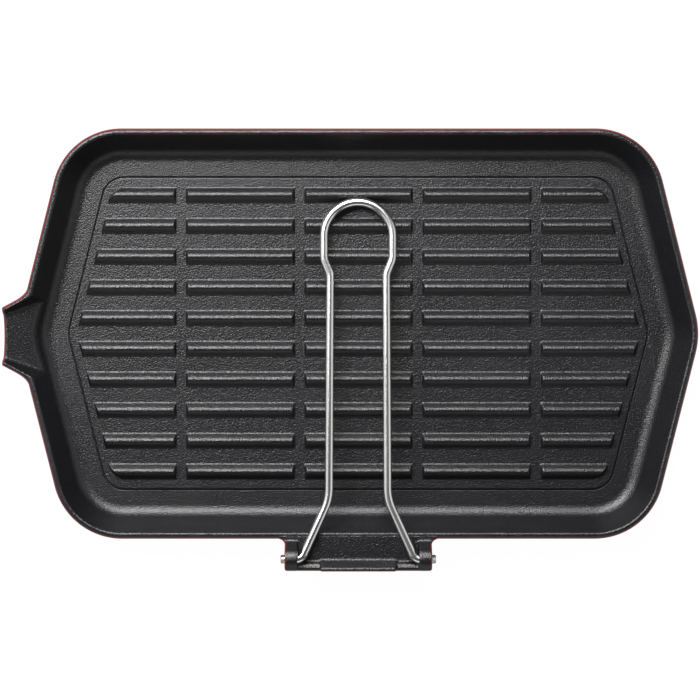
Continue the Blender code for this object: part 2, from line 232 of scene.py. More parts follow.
def cast_grain_group() -> bpy.types.NodeTree:
    """The sandy grain of enamel over cast iron.

    Returns:
        A group that puts out Height, in grains from 0 to 1, and Patch, a slow mask for colour and gloss.
    """
    noise_roughness = 0.55
    noise_range = (0.3, 0.7)  # most of the noise lies between these
    layers = (("Height", "Grain Size", 1.0, 0.0), ("Patch", "Patch Size", 3.0, 7.3))
    inputs = {
        "Vector": ("NodeSocketVector", 0.0),
        "Grain Size": ("NodeSocketFloat", 0.001),
        "Patch Size": ("NodeSocketFloat", 0.04),
    }
    group = new_group("Cast Grain", inputs, ("Height", "Patch"))
    nodes, links = group.nodes, group.links
    source, sink = nodes["Group Input"], nodes["Group Output"]
    for label, size, detail, seed in layers:
        per_metre = nodes.new("ShaderNodeMath")
        per_metre.operation = "DIVIDE"
        per_metre.inputs[0].default_value = 1.0
        links.new(source.outputs[size], per_metre.inputs[1])
        noise = nodes.new("ShaderNodeTexNoise")
        noise.noise_dimensions = "4D"
        noise.inputs["W"].default_value = seed
        noise.inputs["Detail"].default_value = detail
        noise.inputs["Roughness"].default_value = noise_roughness
        links.new(source.outputs["Vector"], noise.inputs["Vector"])
        links.new(per_metre.outputs[0], noise.inputs["Scale"])
        stretch = nodes.new("ShaderNodeMapRange")
        stretch.inputs["From Min"].default_value = noise_range[0]
        stretch.inputs["From Max"].default_value = noise_range[1]
        links.new(noise.outputs["Fac"], stretch.inputs["Value"])
        links.new(stretch.outputs["Result"], sink.inputs[label])
    return group


class MaterialBench:
    """Starts a material and adds nodes to it."""

    def __init__(self, name: str) -> None:
        """Starts the material.

        Args:
            name: The material's name.
        """
        self.material = bpy.data.materials.new(name)
        self.material.use_nodes = True
        self.tree = self.material.node_tree
        self.shader = self.tree.nodes["Principled BSDF"]

    def add(self, kind: str, **values: object) -> bpy.types.Node:
        """A new node.

        Args:
            kind: The node's type.
            **values: Any attributes to set on it.

        Returns:
            The node.
        """
        node = self.tree.nodes.new(kind)
        for label, value in values.items():
            setattr(node, label, value)
        return node

    def link(self, source: bpy.types.NodeSocket, target: bpy.types.NodeSocket) -> None:
        """Joins two sockets."""
        self.tree.links.new(source, target)

    def mix(self, mask: bpy.types.NodeSocket, low: object, high: object) -> bpy.types.NodeSocket:
        """A colour or a number that goes from low to high as the mask goes from 0 to 1.

        Args:
            mask: The socket that drives it.
            low: A socket, a number or an RGB triple.
            high: The same, for the other end.

        Returns:
            The result's socket.
        """
        colour = isinstance(low, tuple) or getattr(low, "type", "VALUE") == "RGBA"
        node = self.add("ShaderNodeMix", data_type="RGBA" if colour else "FLOAT")
        low_input, high_input, output = (6, 7, 2) if colour else (2, 3, 0)
        self.link(mask, node.inputs[0])
        for index, value in ((low_input, low), (high_input, high)):
            if isinstance(value, bpy.types.NodeSocket):
                self.link(value, node.inputs[index])
            else:
                node.inputs[index].default_value = (*value, 1) if isinstance(value, tuple) else value
        return node.outputs[output]

    def product(self, source: bpy.types.NodeSocket, factor: object) -> bpy.types.NodeSocket:
        """The source times a socket or a number.

        Args:
            source: The socket to read.
            factor: A socket or a number.

        Returns:
            The result's socket.
        """
        node = self.add("ShaderNodeMath", operation="MULTIPLY")
        self.link(source, node.inputs[0])
        if isinstance(factor, bpy.types.NodeSocket):
            self.link(factor, node.inputs[1])
        else:
            node.inputs[1].default_value = factor
        return node.outputs[0]

    def bump(self, height: bpy.types.NodeSocket, distance: float) -> None:
        """Gives the surface a relief.

        Args:
            height: The relief's height, from 0 to 1.
            distance: How high 1 stands, in metres.
        """
        node = self.add("ShaderNodeBump")
        node.inputs["Distance"].default_value = distance
        self.link(height, node.inputs["Height"])
        self.link(node.outputs["Normal"], self.shader.inputs["Normal"])

    def grain(
        self, tree: bpy.types.NodeTree, vector: bpy.types.NodeSocket, size: float, patch: float
    ) -> bpy.types.Node:
        """Places the cast grain group.

        Args:
            tree: The group.
            vector: The coordinates that it reads.
            size: The grain's size.
            patch: The size of its patches.

        Returns:
            The group's node.
        """
        node = self.add("ShaderNodeGroup", node_tree=tree)
        node.inputs["Grain Size"].default_value = size
        node.inputs["Patch Size"].default_value = patch
        self.link(vector, node.inputs["Vector"])
        return node

    def ramp(self, source: bpy.types.NodeSocket, low: float, high: float) -> bpy.types.NodeSocket:
        """The source, brought to the range 0 to 1.

        Args:
            source: The socket to read.
            low: Its value that becomes 0.
            high: Its value that becomes 1.

        Returns:
            The result's socket.
        """
        node = self.add("ShaderNodeMapRange")
        node.inputs["From Min"].default_value = low
        node.inputs["From Max"].default_value = high
        self.link(source, node.inputs["Value"])
        return node.outputs["Result"]


@dataclass(frozen=True)
class CastEnamel:
    """Black satin enamel inside the pan and glossy red enamel outside, over the same casting."""

    black: tuple[float, float, float] = (0.0022, 0.0021, 0.0030)
    black_worn: tuple[float, float, float] = (0.0034, 0.0033, 0.0044)
    red: tuple[float, float, float] = (0.125, 0.004, 0.008)
    red_deep: tuple[float, float, float] = (0.105, 0.004, 0.007)
    black_roughness: tuple[float, float] = (0.32, 0.36)
    red_roughness: tuple[float, float] = (0.28, 0.36)
    grain_size: float = 0.00068
    grain_height: float = 0.00012
    patch_size: float = 0.035
    outside_grain: float = 0.18  # share of the grain's height that the outside has
    colour_edge: float = 0.03  # the colours meet where the outside attribute is nearer to 0 than this

    def material(self, grain: bpy.types.NodeTree) -> bpy.types.Material:
        """The finished material.

        Args:
            grain: The cast grain node group.

        Returns:
            A material that reads Object coordinates and the outside attribute.
        """
        bench = MaterialBench("cast_enamel")
        place = bench.add("ShaderNodeTexCoord").outputs["Object"]
        texture = bench.grain(grain, place, self.grain_size, self.patch_size)
        attribute = bench.add("ShaderNodeAttribute", attribute_name=OUTSIDE)
        outside = bench.ramp(attribute.outputs["Fac"], -self.colour_edge, self.colour_edge)
        patch = texture.outputs["Patch"]
        colours = bench.mix(patch, self.black, self.black_worn), bench.mix(patch, self.red_deep, self.red)
        bench.link(bench.mix(outside, *colours), bench.shader.inputs["Base Color"])
        glosses = bench.mix(patch, *self.black_roughness), bench.mix(patch, *self.red_roughness)
        bench.link(bench.mix(outside, *glosses), bench.shader.inputs["Roughness"])
        share = bench.mix(outside, 1.0, self.outside_grain)
        bench.bump(bench.product(texture.outputs["Height"], share), self.grain_height)
        return bench.material


@dataclass(frozen=True)
class PolishedWire:
    """Drawn stainless wire, polished, with faint marks along it."""

    bright: tuple[float, float, float] = (0.72, 0.72, 0.71)
    dull: tuple[float, float, float] = (0.60, 0.60, 0.59)
    roughness: tuple[float, float] = (0.18, 0.28)
    mark_size: float = 0.0008
    mark_height: float = 0.000006
    mark_stretch: float = 0.06  # a mark's width over its length
    patch_size: float = 0.0096

    def material(self, grain: bpy.types.NodeTree) -> bpy.types.Material:
        """The finished material.

        Args:
            grain: The cast grain node group, used for the marks.

        Returns:
            A material that reads the wire's own UV map, across it and along it in metres.
        """
        bench = MaterialBench("stainless_wire")
        bench.shader.inputs["Metallic"].default_value = 1.0
        along = bench.add("ShaderNodeMapping")
        along.inputs["Scale"].default_value = (1, self.mark_stretch, 1)
        bench.link(bench.add("ShaderNodeTexCoord").outputs["UV"], along.inputs["Vector"])
        texture = bench.grain(grain, along.outputs["Vector"], self.mark_size, self.patch_size)
        patch = texture.outputs["Patch"]
        bench.link(bench.mix(patch, self.bright, self.dull), bench.shader.inputs["Base Color"])
        bench.link(bench.mix(patch, *self.roughness), bench.shader.inputs["Roughness"])
        bench.bump(texture.outputs["Height"], self.mark_height)
        return bench.material


# --- the tray ---


@dataclass(frozen=True)
class TraySizes:
    """Sizes of the tray about its own middle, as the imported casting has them."""

    half_length: float = 0.1775
    half_width: float = 0.1064
    end_lean: float = math.radians(14.1)
    corner_radius: float = 0.036
    vertex_radius: float = 0.041
    rim_height: float = 0.024
    floor_height: float = 0.0055
    rim_edge_radius: float = 0.0012
    rim_edge_run: float = 0.0022
    rim_edge_drop: float = 0.0040
    red_line: float = 0.0011
    red_contrast: float = 4.0
    rim_flat_end: float = 0.0025
    wall_draft: float = math.radians(25)
    inner_foot_radius: float = 0.0074
    outer_foot_radius: float = 0.0105
    groove_inset: float = 0.0243
    groove_half_width: float = 0.00030
    groove_depth: float = 0.0014
    groove_edge: float = 0.0007
    plateau_rise: float = 0.0002
    base_ring_width: float = 0.012
    base_recess: float = 0.001

    @property
    def inner_wall(self) -> Wall:
        """The inside of the wall, from the rim's top."""
        depth = self.rim_height - self.floor_height
        return Wall(depth, self.wall_draft, self.rim_edge_radius, self.inner_foot_radius)

    @property
    def outer_wall(self) -> Wall:
        """The outside of the wall, from below the rim's rounded edge."""
        return Wall(self.rim_height - self.rim_edge_drop, self.wall_draft, 0.0, self.outer_foot_radius)

    @property
    def floor_inset(self) -> float:
        """From the outline in to where the floor starts."""
        return self.rim_flat_end + self.inner_wall.run

    @property
    def vertex_centre_x(self) -> float:
        """|x| of the centre of the blunt corner in the middle of each end."""
        return self.half_length - self.vertex_radius / math.cos(self.end_lean)

    @property
    def corner_centre(self) -> Point:
        """Centre of the north-east corner."""
        y = self.half_width - self.corner_radius
        x = self.half_length - self.corner_radius / math.cos(self.end_lean) - y * math.tan(self.end_lean)
        return x, y


@dataclass(frozen=True)
class SpoutSizes:
    """Sizes of the pouring spout at the west end."""

    tip: float = 0.1848
    centre_y: float = -0.0013
    half_tip: float = 0.015
    tip_sag: float = 0.0008
    flank: float = math.radians(28)
    root_blend: float = 0.0055
    tip_blend: float = 0.0008
    rim: float = 0.0017
    tip_depth: float = 0.0035
    channel_fall: float = 0.35
    channel_draft: float = math.radians(22)
    channel_edge: float = 0.0007
    channel_foot: float = 0.0022
    channel_blend: float = 0.003
    tip_underside: float = 0.0170
    under_fall: float = 0.44
    outer_draft: float = math.radians(12)
    outer_foot: float = 0.0015
    under_blend: float = 0.003
    reach_in: float = 0.029
    flat_reach: float = 0.058
    half_span: float = 0.030
    flank_share: float = 0.8  # how much of a ring's way in its flanks go, above and below
    under_flank_share: float = 0.5


@dataclass
class Tray:
    """The tray and its spout, as rings of the outline."""

    sizes: TraySizes = field(default_factory=TraySizes)
    spout: SpoutSizes = field(default_factory=SpoutSizes)
    corner_steps: int = 24
    vertex_steps: int = 8
    spout_steps: int = 150
    rim_edge_steps: int = 12
    rim_flat_steps: int = 2
    inner_wall_steps: tuple[int, int, int] = (6, 10, 26)
    outer_wall_steps: tuple[int, int, int] = (0, 12, 22)
    groove_steps: int = 5
    recess_edge: tuple[Point, ...] = ((1.0, 1.0), (0.8, 1.0), (0.2, 0.12), (-0.1, 0.0))

    def west_side_x(self, y: float, inset: float) -> float:
        """X of the plain west end, without its spout.

        Args:
            y: Place across the tray.
            inset: How far the outline is moved in.

        Returns:
            X on the moved outline.
        """
        s = self.sizes
        radius = s.vertex_radius - inset
        if abs(y) < radius * math.sin(s.end_lean):
            return -s.vertex_centre_x - math.sqrt(radius**2 - y**2)
        return -s.half_length + inset / math.cos(s.end_lean) + abs(y) * math.tan(s.end_lean)

    def west_inset(self, x: float, y: float) -> float:
        """How far a point at the west end lies inside the plain outline.

        Args:
            x: Place along the tray.
            y: Place across it.

        Returns:
            The distance from the outline.
        """
        s = self.sizes
        beyond = -x - s.vertex_centre_x
        if abs(y) < beyond * math.tan(s.end_lean):
            return s.vertex_radius - math.hypot(beyond, y)
        return (s.half_length + x - abs(y) * math.tan(s.end_lean)) * math.cos(s.end_lean)

    def tip_x(self, y: float) -> float:
        """X of the spout's slightly hollow tip."""
        across = min(abs(y - self.spout.centre_y) / self.spout.half_tip, 1)
        return -self.spout.tip + self.spout.tip_sag * (1 - across**2)

    def spout_side_x(self, y: float, tip_inset: float, flank_inset: float) -> float:
        """X of the spout's own outline.

        Args:
            y: Place across the tray.
            tip_inset: How far the tip is moved in.
            flank_inset: How far the flanks are moved in.

        Returns:
            X on the moved outline.
        """
        p = self.spout
        flank = (abs(y - p.centre_y) - p.half_tip) / math.tan(p.flank) - p.tip
        return soft_max(self.tip_x(y) + tip_inset, flank + flank_inset / math.sin(p.flank), p.tip_blend)

    def flank_distance(self, x: float, y: float) -> float:
        """How far a point lies inside the nearer flank of the spout.

        Args:
            x: Place along the tray.
            y: Place across it.

        Returns:
            The distance from the flank.
        """
        p = self.spout
        half_span = p.half_tip + (x + p.tip) * math.tan(p.flank)
        return (half_span - abs(y - p.centre_y)) * math.cos(p.flank)

    def outline(self, inset: float, tip_inset: float, flank_inset: float) -> tuple[list[Point], range]:
        """The outline moved in.

        Args:
            inset: How far its plain sides move in.
            tip_inset: How far the spout's tip moves in.
            flank_inset: How far the spout's flanks move in.

        Returns:
            The points, anticlockwise from the east end, and the indices of those at the spout.
        """
        s, p = self.sizes, self.spout
        north_east = arc(s.corner_centre, s.corner_radius - inset, s.end_lean, math.pi / 2, self.corner_steps)
        vertex_centre = (s.vertex_centre_x, 0)
        east = arc(vertex_centre, s.vertex_radius - inset, -s.end_lean, s.end_lean, self.vertex_steps)
        west = []
        for span in [p.half_span, *spread(p.half_span, -p.half_span, self.spout_steps)]:
            y = p.centre_y + span
            own = self.spout_side_x(y, tip_inset, flank_inset)
            west.append((soft_min(self.west_side_x(y, inset), own, p.root_blend), y))
        north_west = [(-x, y) for x, y in reversed(north_east)]
        south = [(x, -y) for x, y in reversed(north_east + north_west)]
        before = east + north_east + north_west
        return before + west + south, range(len(before), len(before) + len(west))

    def inner_height(self, x: float, y: float, inset: float, at_spout: bool) -> float:
        """Height of the upper surface.

        Args:
            x: Place along the tray.
            y: Place across it.
            inset: How far the ring lies inside the outline.
            at_spout: Whether the spout's channel may cut the wall here.

        Returns:
            The height.
        """
        s, p = self.sizes, self.spout
        edge = max(1 - inset / s.rim_edge_run, 0)
        edge_drop = s.rim_edge_drop * (1 - math.sqrt(1 - edge**2))
        if not at_spout:
            return s.rim_height - edge_drop - s.inner_wall.drop(inset - s.rim_flat_end)
        drop = s.inner_wall.drop(self.west_inset(x, y) - s.rim_flat_end)
        depth = p.tip_depth + p.channel_fall * max(x + p.tip, 0)
        channel = Wall(depth, p.channel_draft, p.channel_edge, p.channel_foot)
        channel_drop = channel.drop(self.flank_distance(x, y) - p.rim)
        reach = min(p.channel_blend, max(drop, channel_drop))
        return s.rim_height - edge_drop - min(soft_max(drop, channel_drop, reach), s.inner_wall.depth)

    def outer_height(self, x: float, y: float, inset: float, edge_height: float, at_spout: bool) -> float:
        """Height of the lower surface.

        Args:
            x: Place along the tray.
            y: Place across it.
            inset: How far the ring lies inside the outline.
            edge_height: Height of the outer edge, which this surface starts from.
            at_spout: Whether the spout's underside may be here.

        Returns:
            The height.
        """
        s, p = self.sizes, self.spout
        if not at_spout:
            return s.outer_wall.depth - s.outer_wall.drop(inset)
        tray = s.outer_wall.depth - s.outer_wall.drop(self.west_inset(x, y))
        underside = p.tip_underside - p.under_fall * max(x + p.tip, 0)
        distance = soft_min(x - self.tip_x(y), self.flank_distance(x, y), p.tip_blend)
        shell = Wall(edge_height - underside, p.outer_draft, 0.0, p.outer_foot)
        spout = edge_height - shell.drop(distance)
        reach = min(p.under_blend, max(edge_height - max(tray, spout), 0) * 2)
        return max(soft_min(tray, spout, reach), 0.0)

    def ring(self, inset: float, tip: float, flank: float, height: HeightRule) -> list[Vector]:
        """One ring of the shell.

        Args:
            inset: How far its plain sides lie inside the outline.
            tip: How far in the spout's tip lies.
            flank: How far in the spout's flanks lie.
            height: The rule for its height.

        Returns:
            Its points.
        """
        points, west = self.outline(inset, tip, flank)
        return [Vector((x, y, height(index, x, y, index in west))) for index, (x, y) in enumerate(points)]

    def flat_ring(self, inset: float, z: float) -> list[Vector]:
        """A level ring, far enough in to have no trace of the spout."""
        return self.ring(inset, self.spout.flat_reach, self.spout.flat_reach, lambda index, x, y, west: z)

    def lower_ring(self, inset: float, edge: Sequence[Vector]) -> list[Vector]:
        """A ring of the outside.

        Args:
            inset: How far its plain sides lie inside the outline.
            edge: The ring along the outer edge.

        Returns:
            Its points.
        """
        reach = self.spout.flat_reach * inset / self.sizes.outer_wall.run

        def height(index: int, x: float, y: float, west: bool) -> float:
            """The lower surface's height at a point."""
            return self.outer_height(x, y, inset, edge[index].z, west)

        return self.ring(inset, reach, reach * self.spout.under_flank_share, height)

    def upper_ring(self, inset: float) -> list[Vector]:
        """A ring of the rim or of the inside.

        Args:
            inset: How far its plain sides lie inside the outline.

        Returns:
            Its points.
        """
        s, p = self.sizes, self.spout
        wall_top = s.rim_flat_end + s.inner_wall.top_run
        beyond_rim = max(inset - wall_top, 0) / (s.floor_inset - wall_top)
        tip = inset + beyond_rim * (p.reach_in - inset)
        flank = min(inset, s.rim_edge_radius) + max(inset - s.rim_edge_radius, 0) * p.flank_share

        def height(index: int, x: float, y: float, west: bool) -> float:
            """The upper surface's height at a point."""
            return self.inner_height(x, y, inset, west)

        return self.ring(inset, tip, flank, height)

    def base_rings(self) -> list[list[Vector]]:
        """The edge of the recess inside the ring that the pan stands on."""
        s = self.sizes
        start, depth = s.outer_wall.run + s.base_ring_width, s.base_recess
        return [self.flat_ring(start + run * depth, rise * depth) for run, rise in self.recess_edge]

    def floor_rings(self) -> list[list[Vector]]:
        """The floor outside the groove, and the groove, with a crisp outer side and a rounded inner one.

        Returns:
            The rings, from the wall's foot to the ribbed field's edge.
        """
        s = self.sizes
        groove, half, edge = s.groove_inset, s.groove_half_width, s.groove_edge
        field_height = s.floor_height + s.plateau_rise
        bottom = field_height - s.groove_depth
        lead, dip = 0.2 * edge, 0.1 * edge
        outer_foot, inner_foot = 0.7 * half, 0.5 * half
        section = [(s.floor_inset, s.floor_height), (groove - half - lead, s.floor_height)]
        section += [(groove - half, s.floor_height - dip), (groove - outer_foot, bottom)]
        section += [(groove + inner_foot, bottom)]
        for turn in spread(0, math.pi / 2, self.groove_steps):
            run, fall = edge * (1 - math.cos(turn)), edge * (1 - math.sin(turn))
            section.append((groove + half + run, field_height - fall))
        return [self.flat_ring(inset, z) for inset, z in section]

    def rings(self) -> tuple[list[list[Vector]], list[float]]:
        """The rings from the recessed base, up the outside, over the rim and down to the ribbed field.

        Returns:
            The rings, and for each its value of the outside attribute.
        """
        s = self.sizes
        edge = self.ring(0, 0, 0, lambda index, x, y, west: self.inner_height(x, y, 0, west))
        outer_insets = reversed(s.outer_wall.stations(*self.outer_wall_steps))
        outside = [*self.base_rings(), *(self.lower_ring(inset, edge) for inset in outer_insets), edge]

        turns = spread(0, math.pi / 2, self.rim_edge_steps)
        insets = [s.rim_edge_run * (1 - math.cos(turn)) for turn in turns]
        insets += spread(s.rim_edge_run, s.rim_flat_end, self.rim_flat_steps)
        insets += [s.rim_flat_end + distance for distance in s.inner_wall.stations(*self.inner_wall_steps)][:-1]
        inside = [self.upper_ring(inset) for inset in insets]
        inside_marks = [max(min(s.red_contrast * (1 - inset / s.red_line), 1), -1) for inset in insets]

        floor = self.floor_rings()
        return outside + inside + floor, [1.0] * len(outside) + inside_marks + [-1.0] * len(floor)


# --- ribs ---


@dataclass
class RibField:
    """Ten rows and five columns of ribs, and the floor between them."""

    tray: Tray
    rows: int = 10
    columns: int = 5
    pitch: float = 0.0161
    half_width: float = 0.00475
    core_half_width: float = 0.00392
    height: float = 0.00308
    flank_slope: float = math.tan(math.radians(47))
    end_slope: float = 2.9
    crest_blend: float = 0.0018
    foot_blend: float = 0.0006
    corner_blend: float = 0.0018
    centre_x: float = 0.0002
    column_edges: tuple[float, float, float, float] = (0.02855, 0.03325, 0.09065, 0.09535)
    end_gap: float = 0.0042
    corner_cut: float = 0.0062
    corner_cut_start: float = 0.3  # from a corner rib's middle, in half widths
    end_zone: float = 0.0022
    end_stations: int = 9
    across_stations: int = 26

    @property
    def end_run(self) -> float:
        """From the end of a rib's footprint to where its end face meets the floor, without its fillet."""
        return self.foot_blend / self.end_slope

    def outer_end_x(self, y: float) -> float:
        """Where the outer ribs end, along lines parallel to the tray's sloping sides.

        Args:
            y: Place across the tray.

        Returns:
            |x| of the ends, less at the corner ribs, which are cut round.
        """
        s = self.tray.sizes
        last_row = (self.rows - 1) / 2 * self.pitch
        cut_from = last_row - self.corner_cut_start * self.half_width
        cut = max(abs(y) - cut_from, 0) / (self.half_width * (1 + self.corner_cut_start))
        inset = (s.groove_inset + self.end_gap) / math.cos(s.end_lean)
        return s.half_length - inset - abs(y) * math.tan(s.end_lean) - self.corner_cut * cut**2

    def ends(self, column: int, y: float) -> Point:
        """Where a column's ribs end.

        Args:
            column: Its number, from the west.
            y: Place across the tray.

        Returns:
            X of the west and the east end.
        """
        centre, inner_start, inner_end, outer_start = self.column_edges
        west = (-self.outer_end_x(y), -inner_end, -centre, inner_start, outer_start)
        east = (-outer_start, -inner_start, centre, inner_end, self.outer_end_x(y))
        return west[column] + self.centre_x, east[column] + self.centre_x

    def seeds(self) -> bpy.types.Object:
        """One vertex for each rib, on its row's line, with the x of its ends as attributes.

        Returns:
            An object that the rib tree is put on.
        """
        rib_ends = []
        mesh = bpy.data.meshes.new("rib_seeds")
        spots = []
        for row in range(self.rows):
            row_y = (row - (self.rows - 1) / 2) * self.pitch
            for column in range(self.columns):
                spots.append((0, row_y, 0))
                lines = [self.ends(column, row_y + side * self.half_width) for side in (-1, 0, 1)]
                rib_ends.append(lines)
        mesh.from_pydata(spots, [], [])
        for end, name in enumerate(("west", "east")):
            for line, place in enumerate(("south", "middle", "north")):
                values = mesh.attributes.new(f"{name}_{place}", "FLOAT", "POINT")
                values.data.foreach_set("value", [lines[line][end] for lines in rib_ends])
        seeds = bpy.data.objects.new("rib_seeds", mesh)
        bpy.context.collection.objects.link(seeds)
        return seeds

    def footprint(self, row_y: float, column: int) -> list[Point]:
        """The boundary of one rib on the floor, with the same points as the rib's own mesh.

        Args:
            row_y: The rib's line.
            column: Its column.

        Returns:
            The points, anticlockwise.
        """
        stations = self.along_stations()
        across = [-1.0, *spread(-1, 1, self.across_stations)]
        lines = [self.ends(column, row_y + side * self.half_width) for side in (-1, 0, 1)]

        def point(v: float, station: tuple[float, float]) -> Point:
            """The point at v across the rib and at a station along it."""
            west, east = (self.bend([line[end] for line in lines], v) for end in (0, 1))
            from_end, share = station
            x = west + from_end if share < 0 else east - from_end
            return (x if share else (west + east) / 2), row_y + v * self.half_width

        south = [point(-1, station) for station in stations]
        north = [point(1, station) for station in stations]
        west = [point(v, stations[0]) for v in across[1:-1]]
        east = [point(v, stations[-1]) for v in across[1:-1]]
        return south + east + north[::-1] + west[::-1]

    @staticmethod
    def bend(values: Sequence[float], v: float) -> float:
        """The parabola through three values at v = -1, 0 and 1."""
        south, middle, north = values
        return middle + v * (north - south) / 2 + v * v * ((north + south) / 2 - middle)

    def along_stations(self) -> list[tuple[float, float]]:
        """Distances from the nearer end, with -1, 0 or 1 for the west half, the middle and the east half."""
        steps = [self.end_zone * step / (self.end_stations - 1) for step in range(self.end_stations)]
        return [(d, -1.0) for d in steps] + [(0.0, 0.0)] + [(d, 1.0) for d in reversed(steps)]

    def tree(self, material: bpy.types.Material) -> bpy.types.NodeTree:
        """The Geometry Nodes tree that makes the ribs from their seeds.

        Args:
            material: The casting's material.

        Returns:
            The tree.
        """
        tree = bpy.data.node_groups.new("Grill Ribs", "GeometryNodeTree")
        face = tree.interface
        face.new_socket("Geometry", in_out="INPUT", socket_type="NodeSocketGeometry")
        sizes = {
            "Half Width": self.half_width,
            "Core Half Width": self.core_half_width,
            "Rib Height": self.height,
            "Flank Slope": self.flank_slope,
            "End Slope": self.end_slope,
            "End Run": self.end_run,
            "End Zone": self.end_zone,
            "Crest Blend": self.crest_blend,
            "Foot Blend": self.foot_blend,
            "Corner Blend": self.corner_blend,
            "Floor Height": self.tray.sizes.floor_height + self.tray.sizes.plateau_rise,
        }
        for name, value in sizes.items():
            face.new_socket(name, in_out="INPUT", socket_type="NodeSocketFloat").default_value = value
        counts = {"Stations Along": 2 * self.end_stations + 1, "Stations Across": self.across_stations + 1}
        for name, value in counts.items():
            face.new_socket(name, in_out="INPUT", socket_type="NodeSocketInt").default_value = value
        face.new_socket("Enamel", in_out="INPUT", socket_type="NodeSocketMaterial").default_value = material
        face.new_socket("Geometry", in_out="OUTPUT", socket_type="NodeSocketGeometry")
        nodes, links = tree.nodes, tree.links
        given = nodes.new("NodeGroupInput").outputs
        out = nodes.new("NodeGroupOutput")

        def put(kind: str, sockets: dict, result: object = 0, **values: object) -> bpy.types.NodeSocket:
            """A new node's output, with sockets or values on its inputs and attributes set by name."""
            node = nodes.new(kind)
            for name, value in values.items():
                setattr(node, name, value)
            for name, value in sockets.items():
                if isinstance(value, bpy.types.NodeSocket):
                    links.new(value, node.inputs[name])
                else:
                    node.inputs[name].default_value = value
            return node.outputs[result]

        def math_of(operation: str, *values: object) -> bpy.types.NodeSocket:
            """The result of a Math node."""
            return put("ShaderNodeMath", dict(enumerate(values)), operation=operation)

        def named(name: str) -> bpy.types.NodeSocket:
            """A stored attribute's value."""
            return put("GeometryNodeInputNamedAttribute", {"Name": name}, "Attribute", data_type="FLOAT")

        along_and_across = {"Vertices X": given["Stations Along"], "Vertices Y": given["Stations Across"]}
        grid = put("GeometryNodeMeshGrid", {"Size X": 2.0, "Size Y": 2.0, **along_and_across}, "Mesh")
        position = put("GeometryNodeInputPosition", {})
        unit = put("ShaderNodeSeparateXYZ", {"Vector": position}).node.outputs
        for name, socket in (("u", unit["X"]), ("v", unit["Y"])):
            stored = {"Geometry": grid, "Name": name, "Value": socket}
            grid = put("GeometryNodeStoreNamedAttribute", stored, "Geometry")
        seeded = {"Points": given["Geometry"], "Instance": grid}
        bars = put("GeometryNodeInstanceOnPoints", seeded, "Instances")
        bars = put("GeometryNodeRealizeInstances", {"Geometry": bars}, "Geometry")

        almost_one = 0.9999
        u, v = named("u"), named("v")
        end_x = {}
        for end in ("west", "east"):
            south, middle, north = (named(f"{end}_{place}") for place in ("south", "middle", "north"))
            lean = math_of("MULTIPLY", math_of("SUBTRACT", north, south), 0.5)
            mean = math_of("MULTIPLY", math_of("ADD", north, south), 0.5)
            bow = math_of("MULTIPLY", math_of("SUBTRACT", mean, middle), math_of("MULTIPLY", v, v))
            end_x[end] = math_of("ADD", math_of("ADD", middle, math_of("MULTIPLY", v, lean)), bow)
        half_stations = math_of("MULTIPLY", math_of("SUBTRACT", given["Stations Along"], 1.0), 0.5)
        from_end = math_of("MULTIPLY", math_of("SUBTRACT", 1.0, math_of("ABSOLUTE", u)), half_stations)
        step = math_of("DIVIDE", given["End Zone"], math_of("SUBTRACT", half_stations, 1.0))
        distance = math_of("MULTIPLY", math_of("ROUND", from_end), step)
        at_middle = math_of("LESS_THAN", math_of("ABSOLUTE", u), math_of("DIVIDE", 0.5, half_stations))
        at_west = math_of("LESS_THAN", u, 0.0)
        west_x = math_of("ADD", end_x["west"], distance)
        east_x = math_of("SUBTRACT", end_x["east"], distance)
        middle_x = math_of("MULTIPLY", math_of("ADD", end_x["west"], end_x["east"]), 0.5)
        side_x = put("ShaderNodeMix", {0: at_west, 2: east_x, 3: west_x}, 0)
        rib_x = put("ShaderNodeMix", {0: at_middle, 2: side_x, 3: middle_x}, 0)
        end_distance = math_of("ADD", distance, math_of("MULTIPLY", at_middle, 1.0))

        across = math_of("MULTIPLY", math_of("ABSOLUTE", v), given["Half Width"])
        inside_core = math_of("SUBTRACT", given["Core Half Width"], across)
        flank = math_of("MULTIPLY", inside_core, given["Flank Slope"])
        end = math_of("MULTIPLY", math_of("SUBTRACT", end_distance, given["End Run"]), given["End Slope"])
        body = math_of("SMOOTH_MIN", flank, end, given["Corner Blend"])
        crest = math_of("SMOOTH_MIN", body, given["Rib Height"], given["Crest Blend"])
        rise = math_of("SMOOTH_MAX", crest, 0.0, given["Foot Blend"])
        outermost = math_of("MAXIMUM", math_of("ABSOLUTE", u), math_of("ABSOLUTE", v))
        edge = math_of("LESS_THAN", almost_one, outermost)
        rise = math_of("MULTIPLY", rise, math_of("SUBTRACT", 1.0, edge))
        here = put("ShaderNodeSeparateXYZ", {"Vector": position}).node.outputs
        row_y = math_of("SUBTRACT", here["Y"], v)
        rib_y = math_of("ADD", row_y, math_of("MULTIPLY", v, given["Half Width"]))
        rib_z = math_of("ADD", rise, given["Floor Height"])
        place = put("ShaderNodeCombineXYZ", {"X": rib_x, "Y": rib_y, "Z": rib_z}, 0)
        bars = put("GeometryNodeSetPosition", {"Geometry": bars, "Position": place}, "Geometry")
        bars = put("GeometryNodeRealizeInstances", {"Geometry": bars}, "Geometry")
        bars = put("GeometryNodeSetMaterial", {"Geometry": bars, "Material": given["Enamel"]}, "Geometry")
        links.new(bars, out.inputs["Geometry"])
        return tree

